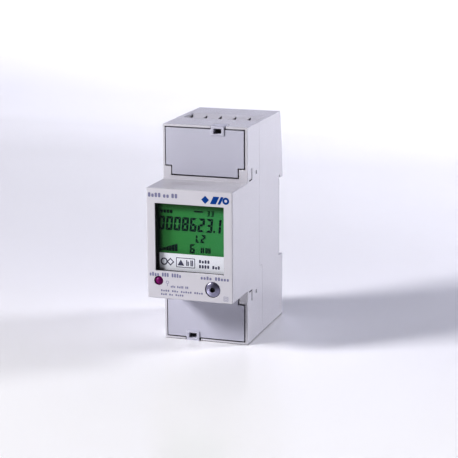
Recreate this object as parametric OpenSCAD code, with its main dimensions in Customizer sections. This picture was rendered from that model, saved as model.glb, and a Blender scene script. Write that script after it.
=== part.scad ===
// Single-phase energy meter for a 35 mm mounting rail, two modules wide.
// Origin: centre of the rail seat. +X right seen from the front, -Y out of the front, +Z up.

/* [Body] */
// Overall width, two 18 mm modules
body_w = 36; // [34:0.5:54]
// Overall height
body_h = 90; // [86:1:120]
// Height of the raised front
nose_h = 45; // [44:0.5:50]
// Depth from the rail plane to the terminal shoulders
shoulder_d = 44; // [44:0.5:60]
// How far the raised front stands out of the shoulders
nose_d = 19.2; // [17:0.1:26]
// Depth of the feet behind the rail plane
foot_d = 5.1; // [4.8:0.1:7]
// Outer wall thickness
wall = 1.6; // [1.2:0.1:2]
// How far the sloping rear wall leans in at the top
rear_lean = 3.8; // [0:0.1:4.5]
// Distance from the rail plane forward to the joint between the shells
seam_d = 28; // [27:0.5:30]
// Step back of that joint on the lower part
seam_step = 4; // [3:0.5:4.5]
// Height of the step, below the middle
seam_step_z = 15.6; // [5:0.1:18]

/* [Rail mounting] */
// Rail width
rail_w = 35; // [35:1:35]
// Thickness of the rail's edge
rail_t = 1; // [1:0.5:1.5]
// How far each hook reaches over the rail's edge
hook_reach = 1.3; // [0.8:0.1:2]
// Width of the clip's neck
clip_w = 13; // [10:0.5:16]
// Travel of the clip
clip_travel = 4.5; // [2:0.1:5]

/* [Window and display] */
// Window width
win_w = 28.7; // [24:0.1:29]
// Window height
win_h = 27.3; // [24:0.1:28]
// Height of the window's centre above the middle
win_z = 2.7; // [2:0.1:3.5]
// How far the pane lies behind the front
pane_recess = 0.5; // [0.2:0.1:0.8]
// Height of the label strip in the window
label_h = 7.1; // [4:0.1:8]
// Depth of the display glass behind the front
lcd_depth = 3.2; // [2.8:0.1:3.6]
// Thickness of the display glass
lcd_t = 2.2; // [1.6:0.1:2.6]

/* [Controls] */
// Pulse lamp, distance left of the middle
led_x = 13.1; // [10:0.1:13.5]
// Pulse lamp, distance below the middle
led_z = 15.2; // [14.5:0.1:17]
// Radius of the pulse lamp
led_r = 1.75; // [1.2:0.05:2]
// Button, distance right of the middle
button_x = 9.7; // [5:0.1:11]
// Button, distance below the middle
button_z = 17.2; // [16.8:0.1:17.4]
// Radius of the button
button_r = 3.1; // [2:0.1:3.3]
// Travel of the button
button_travel = 0.6; // [0.3:0.05:0.8]

/* [Terminal covers] */
// Thickness of a cover
cover_t = 1.6; // [1.2:0.1:2]
// Gap round a cover
cover_gap = 0.4; // [0.3:0.05:0.6]
// Width of the housing's rim round a cover
rim = 1; // [0.9:0.05:1.2]
// Height of the housing's sill between the raised front and a cover
sill_h = 2; // [1.9:0.1:3]
// Width of the corner notch that holds a hinge ear
notch_w = 2.6; // [2.4:0.1:4]
// Height of the corner notch
notch_h = 3.7; // [3.5:0.1:6]
// Radius of a hinge pin
pin_r = 1; // [0.7:0.05:1.2]
// Hinge axis behind the cover's front face
hinge_back = 1.9; // [1.9:0.1:2.4]
// Hinge axis inward of the cover's hinged edge
hinge_in = 1.6; // [1.5:0.1:2]
// How far the covers sit to the left in their gap
cover_play = 0.1; // [0:0.05:0.1]
// Sealing tab, distance off the middle
tab_x = 5.6; // [0:0.1:10]
// How far the sealing tab stands out of the cover
tab_proud = 0.4; // [0:0.1:0.6]
// Sealing tab width
tab_w = 5.7; // [5:0.1:8]
// Sealing hole width
seal_w = 3.2; // [2:0.1:4]
// Sealing hole height
seal_h = 2; // [1.5:0.1:2.5]

/* [Main terminals] */
// Distance between main terminals
main_pitch = 11; // [11:0.1:14]
// Radius of a main wire entry
wire_r = 3.8; // [3:0.1:3.9]
// Radius of a main clamp screw's thread
screw_r = 2.5; // [2:0.05:3.1]
// Wall of a main cage beside the wire
cage_wall = 0.8; // [0.6:0.05:0.9]
// Thickness of a busbar
bar_t = 1.5; // [1:0.1:2]
// Travel of a main cage
cage_travel = 6.4; // [3:0.1:6.6]

/* [Auxiliary terminals] */
// Distance between auxiliary terminals
aux_pitch = 6.35; // [6.2:0.05:6.5]
// Number of auxiliary terminals
aux_count = 5; // [1:1:5]
// Radius of an auxiliary screw's thread
aux_screw_r = 1.25; // [1:0.05:1.5]
// Travel of an auxiliary cage
aux_travel = 2.8; // [1:0.1:3]
// Depth of the trough in the top
trough_depth = 3; // [2:0.1:3.5]
// Width of an entry slot in the trough
slot_w = 1.3; // [0.8:0.1:1.6]

/* [Fits] */
// Radial clearance of a running fit
run = 0.06; // [0.03:0.01:0.09]
// Clearance between pieces that pass each other
gap = 0.3; // [0.3:0.05:0.4]
// Clearance between fixed pieces
seat = 0.1; // [0.05:0.05:0.15]

/* [Hidden] */

$fn = 64;
past = 1; // how far a cutter runs past a face
shell_color = [0.82, 0.81, 0.86];
cover_color = [0.76, 0.77, 0.84];
brass_color = [0.78, 0.62, 0.32];
steel_color = [0.72, 0.73, 0.76];
board_color = [0.12, 0.42, 0.24];
black_color = [0.08, 0.08, 0.09];

half_w = body_w / 2;
half_h = body_h / 2;
nose_z = nose_h / 2;
inner_x = half_w - wall;
inner_z = half_h - wall;
nose_inner_z = nose_z - wall;
shoulder_y = -shoulder_d;
front_y = shoulder_y - nose_d;
panel_back_y = front_y + wall;
seam_y = -seam_d;
low_seam_y = seam_y + seam_step;

// Rail seat
rail_z = rail_w / 2 + gap / 2;
groove_d = rail_t + gap;
seat_z = rail_z - hook_reach - gap;
seat_relief = 0.2;
flange_w = clip_w + 3;
flange_y = groove_d + gap;
flange_t = 1.5;
clip_end_gap = 0.6;
clip_slot_w = 7;
clip_slot_top = rail_z + 7.5;
spring_min_h = 5.8; // height of the spring at the end of the clip's travel
peg_top = clip_slot_top + clip_travel + spring_min_h;
peg_h = 1.5;
peg_w = 3;
clip_slot_bottom = peg_top + peg_h + gap;

// Covers, for the upper one; the lower one is the same piece turned over
cover_x = half_w - rim - cover_gap;
seat_x = half_w - rim;
cover_low = nose_z + sill_h;
seat_top = half_h - rim;
cover_high = seat_top - cover_gap;
ear_x = seat_x - notch_w;
ear_top = cover_low + notch_h - cover_gap;
hinge_y = shoulder_y + hinge_back;
hinge_z = cover_low + hinge_in;
sweep_r = norm([hinge_back, hinge_in]) + gap;
ear_sweep_r = norm([hinge_back, ear_top - hinge_z]) + gap;
pin_end = seat_x - 0.5;
seat_back_y = hinge_y + sweep_r;
tab_back = 5;
tab_t = seal_h + 0.5;
tab_gap_in = 0.3 + cover_play; // notch clearance beside the tab, on the side towards the middle
tab_gap_out = 0.45;
lug_w = 1.6;

// Main clamps, from the front to the rear
bar_gap = 0.3;
cage_front_t = 2.6;
cage_rear_t = 1.6;
wire_y = low_seam_y + wire_r + 0.8;
bar_back_y = wire_y - wire_r - 0.5;
bar_front_y = bar_back_y - bar_t;
cage_in_x = wire_r;
cage_x = cage_in_x + cage_wall;
cage_h = 8.5;
cage_low = half_h - wall - 1.4;
screw_z = -(cage_low - cage_h / 2);
chamber_back_y = wire_y + wire_r + gap + cage_rear_t + gap;
head_r = screw_r + 1.1;
head_t = 2.8;

// Terminal wall, which carries the clamp screws
screw_wall_t = 1.5;
cage_spare = 0.5; // room left in front of a cage at the end of its travel
screw_wall_y = bar_front_y - bar_gap - cage_front_t - cage_travel - cage_spare - screw_wall_t;

// Auxiliary clamps
aux_bar_t = 0.8;
aux_bar_back_y = seam_y + 3;
aux_bar_front_y = aux_bar_back_y - aux_bar_t;
aux_wire = 3.4;
aux_cage_in_x = 1.6;
aux_cage_x = 2.3;
aux_cage_h = 6;
aux_cage_front_t = 2.1;
aux_cage_rear_t = 1.2;
aux_head_r = aux_screw_r + 0.65;
aux_head_t = 2.4;
aux_block_x = (aux_count - 1) / 2 * aux_pitch + aux_cage_x + gap + 0.4;
aux_block_top = half_h - wall - trough_depth;
aux_block_h = 13.6;
aux_block_low = aux_block_top - aux_block_h;
aux_z = aux_block_top - 7.2;
aux_block_front_y = screw_wall_y + screw_wall_t;
aux_block_back_y = aux_bar_back_y + aux_wire + aux_cage_rear_t + 4.6;
entry_shift = 2.2;

// Trough in the top
trough_front_y = seam_y + 1.5;
trough_back_y = trough_front_y + 12.5;
trough_x = half_w - 2.4;

// Snap tongues of the rear shell
snap_z = nose_z + 2.5;
snap_w = 1.6;
snap_y = shoulder_y + 11.5;
snap_slot = 1.2;
snap_t = 1.2;
barb_t = 0.6; // thickness of a snap barb
barb_deep = 1.2; // depth of the barb's end below the outer face

// Display stack
pane_y = front_y + pane_recess;
pane_flange_t = 0.8;
pane_back_y = panel_back_y + pane_flange_t;
label_t = 0.2;
win_low = win_z - win_h / 2;
label_low = win_low - 0.3;
win_high = win_z + win_h / 2;
frame_x = win_w / 2 + 1;
frame_low = win_low - 0.9;
frame_high = win_high + 0.9;
lcd_y = front_y + lcd_depth;
lcd_back_y = lcd_y + lcd_t;
guide_t = 2.6;
frame_back_y = lcd_back_y + guide_t + 0.6;
lcd_low = label_low + label_h - 3.2;
board_t = 1.6;
board_y = frame_back_y;
board_back_y = board_y + board_t;
lcd_x = win_w / 2 + 0.35;
lcd_high = win_high + 0.3;
ledge_h = 2.6;

// Main board, upright against the left wall
main_board_x = -(inner_x - 1);
main_face_x = main_board_x + board_t;
main_board_front_y = board_back_y + 1.2;
main_board_back_y = -wall - 1.4;
main_board_z = nose_inner_z - 0.2;

function main_x(i) = (i - 2) * main_pitch;
function aux_x(i) = (i - (aux_count + 1) / 2) * aux_pitch;

// A box from one corner to the opposite one
module block(low, high) {
    translate(low)
        cube(high - low);
}

// A round bar along Y
module bar_y(r, y1, y2) {
    translate([0, y1, 0])
        rotate([-90, 0, 0])
            cylinder(r = r, h = y2 - y1);
}

// A round bar along X
module bar_x(r, x1, x2) {
    translate([x1, 0, 0])
        rotate([0, 90, 0])
            cylinder(r = r, h = x2 - x1);
}

// A shape and its mirror image across the middle
module both_sides() {
    children();
    mirror([1, 0, 0])
        children();
}

// Side outline given as [y, z] points, extruded across the width
module side_profile(points, x) {
    translate([-x, 0, 0])
        rotate([90, 0, 90])
            linear_extrude(height = 2 * x)
                polygon(points);
}

// Housing -----------------------------------------------------------------

module front_outline() {
    side_profile([
        [front_y, -nose_z], [front_y, nose_z], [shoulder_y, nose_z], [shoulder_y, half_h],
        [seam_y, half_h], [seam_y, -seam_step_z], [low_seam_y, -seam_step_z],
        [low_seam_y, -half_h], [shoulder_y, -half_h], [shoulder_y, -nose_z]], half_w);
}

// Space behind and in front of the screw wall, for one terminal end
module terminal_space() {
    block([-seat_x, shoulder_y - past, cover_low - cover_gap], [seat_x, seat_back_y, seat_top]);
    block([-inner_x, seat_back_y - past, nose_z], [inner_x, screw_wall_y, inner_z]);
    block([-inner_x, screw_wall_y + screw_wall_t, nose_z], [inner_x, past, inner_z]);
    translate([0, hinge_y, hinge_z])
        bar_x(sweep_r, -ear_x, ear_x);
    // notch that the sealing tab lies in
    block([tab_x - tab_w / 2 - tab_gap_in, shoulder_y - past, seat_top - past],
        [tab_x + tab_w / 2 + tab_gap_out, shoulder_y + tab_back + cover_gap, half_h + past]);
}

// Ears that hold a cover's hinge pins
module hinge_ears() {
    both_sides()
        difference() {
            block([ear_x, shoulder_y, nose_z - wall / 2], [seat_x + rim / 2, seat_back_y + wall, ear_top]);
            translate([0, hinge_y, hinge_z])
                bar_x(pin_r + run, ear_x - past, pin_end + gap + cover_play);
        }
}

// Fine relief line round an ear on the outer face, which lets it flex when a cover is pressed in
module ear_line() {
    line_w = 0.9;
    line_h = 4.8;
    line_depth = 0.9;
    line_y = shoulder_y + 5.3;
    foot_y = shoulder_y + 2.2;
    foot_h = 0.5;
    foot_z = nose_z + 0.3;
    both_sides() {
        block([half_w - line_depth, line_y, foot_z], [half_w + past, line_y + line_w, foot_z + line_h]);
        block([half_w - line_depth, foot_y, foot_z], [half_w + past, line_y + line_w, foot_z + foot_h]);
    }
}

module snap_slots() {
    both_sides()
        for (side = [-1, 1])
            translate([0, snap_y, side * snap_z])
                block([inner_x - past, -snap_slot / 2, -snap_w / 2],
                    [half_w + past, snap_slot / 2, snap_w / 2]);
}

module front_housing() {
    color(shell_color)
        difference() {
            union() {
                difference() {
                    front_outline();
                    block([-inner_x, panel_back_y, -nose_inner_z], [inner_x, past, nose_inner_z]);
                    terminal_space();
                    rotate([0, 180, 0])
                        terminal_space();
                }
                hinge_ears();
                rotate([0, 180, 0])
                    hinge_ears();
            }
            // window, lamp and button
            block([-win_w / 2, front_y - past, win_low], [win_w / 2, panel_back_y + past, win_high]);
            translate([-led_x, 0, -led_z])
                bar_y(led_r + seat, front_y - past, panel_back_y + past);
            translate([button_x, 0, -button_z])
                bar_y(button_r + run, front_y - past, panel_back_y + past);
            // screw access
            for (i = [1 : 3])
                translate([main_x(i), 0, screw_z])
                    bar_y(screw_r + run, screw_wall_y - past, screw_wall_y + screw_wall_t + past);
            for (i = [1 : aux_count])
                translate([aux_x(i), 0, aux_z])
                    bar_y(aux_head_r + gap, screw_wall_y - past, screw_wall_y + screw_wall_t + past);
            snap_slots();
            ear_line();
            rotate([0, 180, 0])
                ear_line();
        }
}

module rear_outline() {
    side_profile([
        [seam_y, half_h], [foot_d - rear_lean, half_h], [foot_d, rail_z + 0.5],
        [foot_d, rail_z - hook_reach], [groove_d, rail_z - hook_reach], [groove_d, rail_z],
        [-seat_relief, rail_z], [-seat_relief, seat_z], [0, seat_z], [0, -seat_z],
        [-seat_relief, -seat_z], [-seat_relief, -rail_z], [foot_d, -rail_z], [foot_d, -half_h],
        [low_seam_y, -half_h], [low_seam_y, -seam_step_z], [seam_y, -seam_step_z]], half_w);
}

// The hollow of the rear shell, which leaves the partition under the auxiliary terminals
module rear_hollow() {
    foot_hollow_x = flange_w / 2 + wall;
    block([-inner_x, seam_y - past, nose_z], [inner_x, -wall, inner_z]);
    block([-inner_x, seam_y - past, -nose_inner_z], [inner_x, -wall, nose_inner_z]);
    // main terminal chamber, and the space behind its rear wall, which opens up to the electronics
    block([-inner_x, low_seam_y - past, -inner_z], [inner_x, chamber_back_y, -nose_z]);
    block([-inner_x, chamber_back_y + wall, -inner_z], [inner_x, -wall, -nose_inner_z + past]);
    // behind the upper hook's sloping wall
    side_profile([
        [-wall - past, nose_z], [-wall - past, inner_z], [foot_d - rear_lean - wall, inner_z],
        [foot_d - wall - rear_lean * (nose_z - rail_z) / (half_h - rail_z), nose_z]], inner_x);
    // inside the lower foot, beside the clip's channel
    both_sides()
        block([foot_hollow_x, -wall - past, -inner_z], [inner_x, foot_d - wall, -nose_z]);
}

module trough() {
    side_profile([
        [trough_front_y, half_h + past], [trough_front_y, half_h - trough_depth],
        [trough_back_y, half_h], [trough_back_y, half_h + past]], trough_x);
}

// One pointed wire entry in the trough's floor, wide end to the front
module entry_slot() {
    slot_front = trough_front_y + 0.6;
    point_front = trough_front_y + 8;
    point_back = trough_front_y + 10.2;
    tip_x = 0.15;
    translate([0, 0, half_h - trough_depth - 2 * wall])
        linear_extrude(height = trough_depth + 2 * wall + past)
            polygon([[-slot_w / 2, slot_front], [slot_w / 2, slot_front],
                [slot_w / 2, point_front], [tip_x, point_back], [-tip_x, point_back],
                [-slot_w / 2, point_front]]);
}

// T-shaped channel that the rail clip slides in
module clip_channel() {
    block([-flange_w / 2 - gap, flange_y - gap, -half_h - past],
        [flange_w / 2 + gap, flange_y + flange_t + gap, -rail_z + past]);
    block([-clip_w / 2 - gap, flange_y, -half_h - past], [clip_w / 2 + gap, foot_d + past, -rail_z + past]);
}

module rear_housing() {
    rib_t = 1;
    color(shell_color)
        difference() {
            union() {
                difference() {
                    rear_outline();
                    rear_hollow();
                }
                // roof under the trough
                block([-inner_x - seat, seam_y, half_h - trough_depth - wall],
                    [inner_x + seat, trough_back_y, inner_z + seat]);
                // partitions between the main cages
                for (side = [-1, 1])
                    translate([side * main_pitch / 2, 0, 0])
                        block([-rib_t / 2, low_seam_y, -inner_z - seat],
                            [rib_t / 2, chamber_back_y + seat, -cage_low + cage_h + 1]);
                // ribs that the main board leans on
                for (z = [-main_board_z + 1.5, main_board_z - 1.5])
                    block([-inner_x - seat, seam_y + seam_step + 1, z - 0.6],
                        [main_board_x, -wall + seat, z + 0.6]);
                // snap tongues and their barbs
                both_sides()
                    for (side = [-1, 1])
                        translate([0, 0, side * snap_z]) {
                            block([inner_x - snap_t, snap_y - 0.9, -snap_w / 2],
                                [inner_x - seat, low_seam_y + 4, snap_w / 2]);
                            block([inner_x - seat * 2, snap_y - barb_t / 2, -snap_w / 2 + seat],
                                [half_w - barb_deep, snap_y + barb_t / 2, snap_w / 2 - seat]);
                            block([inner_x - snap_t, low_seam_y + 0.2, -snap_w / 2],
                                [inner_x + seat, low_seam_y + 4, snap_w / 2]);
                        }
            }
            trough();
            for (i = [1 : aux_count])
                translate([aux_x(i) - entry_shift, 0, 0])
                    entry_slot();
            for (i = [1 : 3])
                translate([main_x(i), wire_y, -half_h - past])
                    cylinder(r = wire_r, h = wall + 2 * past);
            clip_channel();
        }
    // peg that the clip's spring pushes against
    color(shell_color)
        block([-peg_w / 2, flange_y - gap, -peg_top - peg_h], [peg_w / 2, foot_d - 0.7, -peg_top]);
}

// Covers ------------------------------------------------------------------

module terminal_cover() {
    rib_in = 1;
    rib_d = 2;
    plate_back = shoulder_y + cover_t;
    lug_x = ear_x - cover_gap;
    color(cover_color)
        difference() {
            union() {
                // plate, with its notch edges curved back so that they swing past the ears
                difference() {
                    block([-cover_x, shoulder_y, cover_low + notch_h], [cover_x, plate_back, cover_high]);
                    both_sides()
                        translate([0, hinge_y, hinge_z])
                            bar_x(ear_sweep_r, lug_x, cover_x + past);
                }
                block([-lug_x, shoulder_y, cover_low], [lug_x, plate_back, cover_low + notch_h + past]);
                // stiffening ribs behind the plate
                both_sides()
                    block([cover_x - rib_in - 1, plate_back - past / 2, cover_low + notch_h + 1.5],
                        [cover_x - rib_in, plate_back + rib_d, cover_high - 1]);
                // sealing tab, which wraps over the housing's end
                block([tab_x - tab_w / 2, shoulder_y - tab_proud, cover_high - tab_t],
                    [tab_x + tab_w / 2, plate_back + 0.4, half_h]);
                block([tab_x - tab_w / 2, shoulder_y, seat_top + gap / 3],
                    [tab_x + tab_w / 2, shoulder_y + tab_back, half_h]);
                // hinge lugs and pins
                both_sides() {
                    block([lug_x - lug_w, plate_back - past / 2, hinge_z - hinge_in],
                        [lug_x, hinge_y + 1.2, hinge_z + 1.2]);
                    translate([0, hinge_y, hinge_z])
                        bar_x(pin_r, lug_x - lug_w, pin_end);
                }
            }
            block([tab_x - seal_w / 2, shoulder_y - past, seat_top - 0.1 - seal_h],
                [tab_x + seal_w / 2, shoulder_y + cover_t + past, seat_top - 0.1]);
        }
}

module upper_terminal_cover() {
    translate([-cover_play, 0, 0])
        terminal_cover();
}

module lower_terminal_cover() {
    translate([-cover_play, 0, 0])
        rotate([0, 180, 0])
            terminal_cover();
}

// Display and controls ----------------------------------------------------

module display_window() {
    color([0.7, 0.85, 0.78, 0.35])
        union() {
            block([-win_w / 2 + seat, pane_y, win_low + seat],
                [win_w / 2 - seat, panel_back_y, win_high - seat]);
            block([-frame_x, panel_back_y, frame_low], [frame_x, pane_back_y, frame_high]);
        }
}

module rating_label() {
    color([0.93, 0.92, 0.97])
        block([-win_w / 2 + 0.75, pane_back_y, label_low],
            [win_w / 2 - 0.2, pane_back_y + label_t, label_low + label_h]);
}

// Black carrier behind the window, with pockets for the label, the glass and the light guide
module display_frame() {
    view_low = label_low + label_h - 0.4;
    color(black_color)
        difference() {
            block([-frame_x, pane_back_y, frame_low], [frame_x, frame_back_y, frame_high]);
            block([-win_w / 2 + 0.75 - seat, pane_back_y - past, label_low - seat],
                [win_w / 2 - 0.2 + seat, pane_back_y + label_t, label_low + label_h + seat]);
            block([-win_w / 2, pane_back_y - past, view_low], [win_w / 2, frame_back_y + past, win_high]);
            block([-lcd_x - seat, lcd_y, lcd_low - seat],
                [lcd_x + seat, frame_back_y + past, lcd_high + seat]);
        }
}

module lcd_panel() {
    color([0.2, 0.52, 0.3])
        block([-lcd_x, lcd_y, lcd_low], [lcd_x, lcd_back_y, lcd_high]);
}

module lcd_connector() {
    color([0.2, 0.2, 0.22])
        block([-lcd_x + 1.5, lcd_back_y, lcd_low + 0.2], [lcd_x - 1.5, board_y, lcd_low + 0.2 + 2]);
}

module backlight_guide() {
    color([0.85, 0.95, 0.85, 0.6])
        block([-lcd_x + 1.6, lcd_back_y, lcd_low + ledge_h], [lcd_x, lcd_back_y + guide_t, lcd_high]);
}

module backlight_leds() {
    led_h = 3.2;
    color([0.95, 0.95, 0.8])
        for (z = [win_z, win_high - 4.5])
            block([-lcd_x + 0.2, lcd_back_y + 0.2, z - led_h / 2], [-lcd_x + 1.6, board_y, z + led_h / 2]);
}

module display_board() {
    color(board_color)
        block([-inner_x + 0.4, board_y, -nose_inner_z + 0.4],
            [inner_x - 0.4, board_back_y, nose_inner_z - 0.4]);
}

module pulse_led() {
    dome_y = front_y - 0.3;
    base_y = front_y + 4.6;
    lead_r = 0.25;
    lead_x = 1.27;
    color([0.5, 0.08, 0.4])
        translate([-led_x, 0, -led_z]) {
            bar_y(led_r, dome_y + led_r / 2, base_y);
            intersection() {
                translate([0, dome_y + led_r, 0])
                    sphere(r = led_r);
                bar_y(led_r, dome_y, dome_y + led_r);
            }
            bar_y(led_r + 0.3, base_y - 0.8, base_y);
            for (x = [-lead_x, lead_x])
                translate([x, 0, 0])
                    bar_y(lead_r, base_y - 0.4, board_y);
        }
}

// Button with a dished face, two retaining lugs behind the panel and a stem to the switch
module push_button() {
    face_y = front_y - 0.5;
    stem_y = board_y - 4.6;
    dish_r = 7.5;
    dish_depth = 0.65;
    dimple_r = 0.75;
    lug_out = 0.6;
    lug_half = 1.5;
    color([0.72, 0.72, 0.8])
        translate([button_x, 0, -button_z])
            difference() {
                union() {
                    bar_y(button_r, face_y, panel_back_y + 1.2);
                    block([-button_r - lug_out, panel_back_y + seat, -lug_half],
                        [button_r + lug_out, panel_back_y + seat + 1, lug_half]);
                    bar_y(1.4, panel_back_y, stem_y);
                }
                translate([0, face_y - dish_r + dish_depth, 0])
                    sphere(r = dish_r, $fn = 96);
                bar_y(dimple_r, face_y - past, face_y + 1.5);
            }
}

module switch_plunger() {
    color([0.15, 0.15, 0.16])
        translate([button_x, 0, -button_z])
            bar_y(1.7, board_y - 4.6, board_y - 2.4);
}

module tact_switch() {
    half = 3;
    color(steel_color)
        translate([button_x, 0, -button_z])
            difference() {
                block([-half, board_y - 3.5, -half], [half, board_y, half]);
                bar_y(1.7 + run, board_y - 3.5 - past, board_y - 2.4 + button_travel + gap);
            }
}

module microcontroller() {
    size = 5;
    color(black_color)
        block([-size + 2, board_back_y, 2], [size + 2, board_back_y + 1.4, 2 + 2 * size]);
}

// Boards and electronics --------------------------------------------------

module main_board() {
    color(board_color)
        block([main_board_x, main_board_front_y, -main_board_z],
            [main_face_x, main_board_back_y, main_board_z]);
}

module board_connector() {
    color(black_color)
        block([main_face_x, board_back_y, -8], [main_face_x + 2.5, main_board_front_y + 5, 8]);
}

module metering_chip() {
    color(black_color)
        block([main_face_x, -20, -12], [main_face_x + 1.6, -12.5, -4]);
}

// Core with a wound coil between two cheeks
module supply_transformer() {
    y = -34;
    z = 8;
    color([0.25, 0.22, 0.2])
        translate([main_face_x, y, z]) {
            block([0, -7, -8], [12, 7, -6]);
            block([0, -7, 6], [12, 7, 8]);
            block([2.5, -3.5, -6.5], [9.5, 3.5, 6.5]);
            translate([6, 0, -6.2])
                cylinder(r = 5.4, h = 12.4);
        }
}

module buffer_capacitor() {
    r = 5;
    color([0.2, 0.24, 0.4])
        translate([0, -34, -11])
            bar_x(r, main_face_x, main_face_x + 20);
}

module varistor() {
    color([0.2, 0.35, 0.6])
        translate([main_face_x + 7, -16, 4]) {
            bar_y(5, -1.8, 1.8);
            for (z = [-2.5, 2.5])
                translate([0, 0, z])
                    bar_x(0.4, -7, 0);
        }
}

module optocouplers() {
    color(black_color)
        for (y = [-20, -11])
            block([main_face_x, y, 13], [main_face_x + 3.5, y + 6.5, 17.6]);
}

// Main current path -------------------------------------------------------

bar_x_half = cage_in_x - gap;
shunt_low = -(cage_low - cage_h - 2.3);
shunt_high = -nose_z;

module busbar_tongue(i) {
    block([main_x(i) - bar_x_half, bar_front_y, -cage_low - 0.4],
        [main_x(i) + bar_x_half, bar_back_y, shunt_high]);
}

module line_in_busbar() {
    color(brass_color)
        busbar_tongue(1);
}

module line_out_busbar() {
    color(brass_color)
        busbar_tongue(2);
}

module neutral_busbar() {
    color(brass_color)
        busbar_tongue(3);
}

// Resistance strip between the two line bars, with its two sense pins
module current_shunt() {
    pin_half = 0.4;
    color([0.62, 0.42, 0.3]) {
        block([main_x(1) + bar_x_half, bar_front_y, shunt_low + 0.6],
            [main_x(2) - bar_x_half, bar_back_y, shunt_high]);
        for (x = [main_x(1) + bar_x_half + 0.8, main_x(2) - bar_x_half - 0.8])
            block([x - pin_half, bar_back_y - 0.5, shunt_low + 2],
                [x + pin_half, bar_back_y + 4, shunt_low + 2.8]);
    }
}

// Clamps ------------------------------------------------------------------

// A cage that slides on its screw: a square tube along Z round the bar and the wire
module cage(in_x, out_x, front_y_in, back_y_in, front_t, rear_t, height, thread_r) {
    difference() {
        block([-out_x, front_y_in - front_t, -height / 2], [out_x, back_y_in + rear_t, height / 2]);
        block([-in_x, front_y_in, -height / 2 - past], [in_x, back_y_in, height / 2 + past]);
        bar_y(thread_r + run, front_y_in - front_t - past, front_y_in + past);
    }
}

// A clamp screw along Y with a cross-slotted head
module clamp_screw(r, head_radius, head_front_y, head_thick, tip_y) {
    slot = r * 0.36;
    slot_deep = head_thick * 0.45;
    difference() {
        union() {
            bar_y(head_radius, head_front_y, head_front_y + head_thick);
            bar_y(r, head_front_y + head_thick - 0.5, tip_y);
        }
        for (turn = [0, 90])
            rotate([0, turn, 0])
                block([-head_radius * (turn == 0 ? 1.2 : 0.62), head_front_y - past, -slot / 2],
                    [head_radius * (turn == 0 ? 1.2 : 0.62), head_front_y + slot_deep, slot / 2]);
    }
}

module main_cage(i) {
    color(steel_color)
        translate([main_x(i), 0, screw_z])
            cage(cage_in_x, cage_x, bar_front_y - bar_gap, wire_y + wire_r + gap,
                cage_front_t, cage_rear_t, cage_h, screw_r);
}

module main_screw(i) {
    color(steel_color)
        translate([main_x(i), 0, screw_z])
            clamp_screw(screw_r, head_r, screw_wall_y - seat - head_t, head_t, bar_front_y - bar_gap);
}

module main_screw_1() { main_screw(1); }
module main_screw_2() { main_screw(2); }
module main_screw_3() { main_screw(3); }
module main_cage_1() { main_cage(1); }
module main_cage_2() { main_cage(2); }
module main_cage_3() { main_cage(3); }

module aux_terminal_block() {
    chamber_x = aux_cage_x + gap;
    chamber_front_y = aux_bar_front_y - bar_gap - aux_cage_front_t - aux_travel - gap;
    cell_back_y = aux_bar_back_y + aux_wire + aux_cage_rear_t + 1.4;
    chamber_low = aux_z - aux_cage_h / 2 - 1.2;
    chamber_high = aux_z + aux_cage_h / 2 + 1.2;
    color([0.3, 0.33, 0.4])
        difference() {
            block([-aux_block_x, aux_block_front_y, aux_block_low],
                [aux_block_x, aux_block_back_y, aux_block_top]);
            for (i = [1 : aux_count])
                translate([aux_x(i), 0, 0]) {
                    block([-chamber_x, chamber_front_y, chamber_low],
                        [chamber_x, cell_back_y, chamber_high]);
                    translate([0, 0, aux_z])
                        bar_y(aux_screw_r + run, aux_block_front_y - past, chamber_front_y + past);
                    // slit for the contact blade
                    block([-aux_contact_x, aux_bar_front_y, aux_block_low - past],
                        [aux_contact_x, aux_bar_back_y, chamber_low + past]);
                    // way in for the wire, from the slot in the trough
                    block([-entry_shift - (i == 1 ? 0 : slot_w / 2), aux_bar_back_y, chamber_high - past],
                        [1.2, aux_bar_back_y + aux_wire, aux_block_top + past]);
                }
        }
}

aux_contact_x = aux_cage_in_x - gap;

module aux_contacts() {
    color(brass_color)
        for (i = [1 : aux_count])
            translate([aux_x(i), 0, 0])
                block([-aux_contact_x, aux_bar_front_y, nose_z + 1],
                    [aux_contact_x, aux_bar_back_y, aux_z + aux_cage_h / 2 + 0.6]);
}

module aux_cage(i) {
    color(steel_color)
        translate([aux_x(i), 0, aux_z])
            cage(aux_cage_in_x, aux_cage_x, aux_bar_front_y - bar_gap, aux_bar_back_y + aux_wire,
                aux_cage_front_t, aux_cage_rear_t, aux_cage_h, aux_screw_r);
}

module aux_screw(i) {
    color(steel_color)
        translate([aux_x(i), 0, aux_z])
            clamp_screw(aux_screw_r, aux_head_r, aux_block_front_y - seat - aux_head_t, aux_head_t,
                aux_bar_front_y - bar_gap);
}

module aux_screw_1() { aux_screw(1); }
module aux_screw_2() { aux_screw(2); }
module aux_screw_3() { aux_screw(3); }
module aux_screw_4() { aux_screw(4); }
module aux_screw_5() { aux_screw(5); }
module aux_cage_1() { aux_cage(1); }
module aux_cage_2() { aux_cage(2); }
module aux_cage_3() { aux_cage(3); }
module aux_cage_4() { aux_cage(4); }
module aux_cage_5() { aux_cage(5); }

// Rail clip ---------------------------------------------------------------

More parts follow.
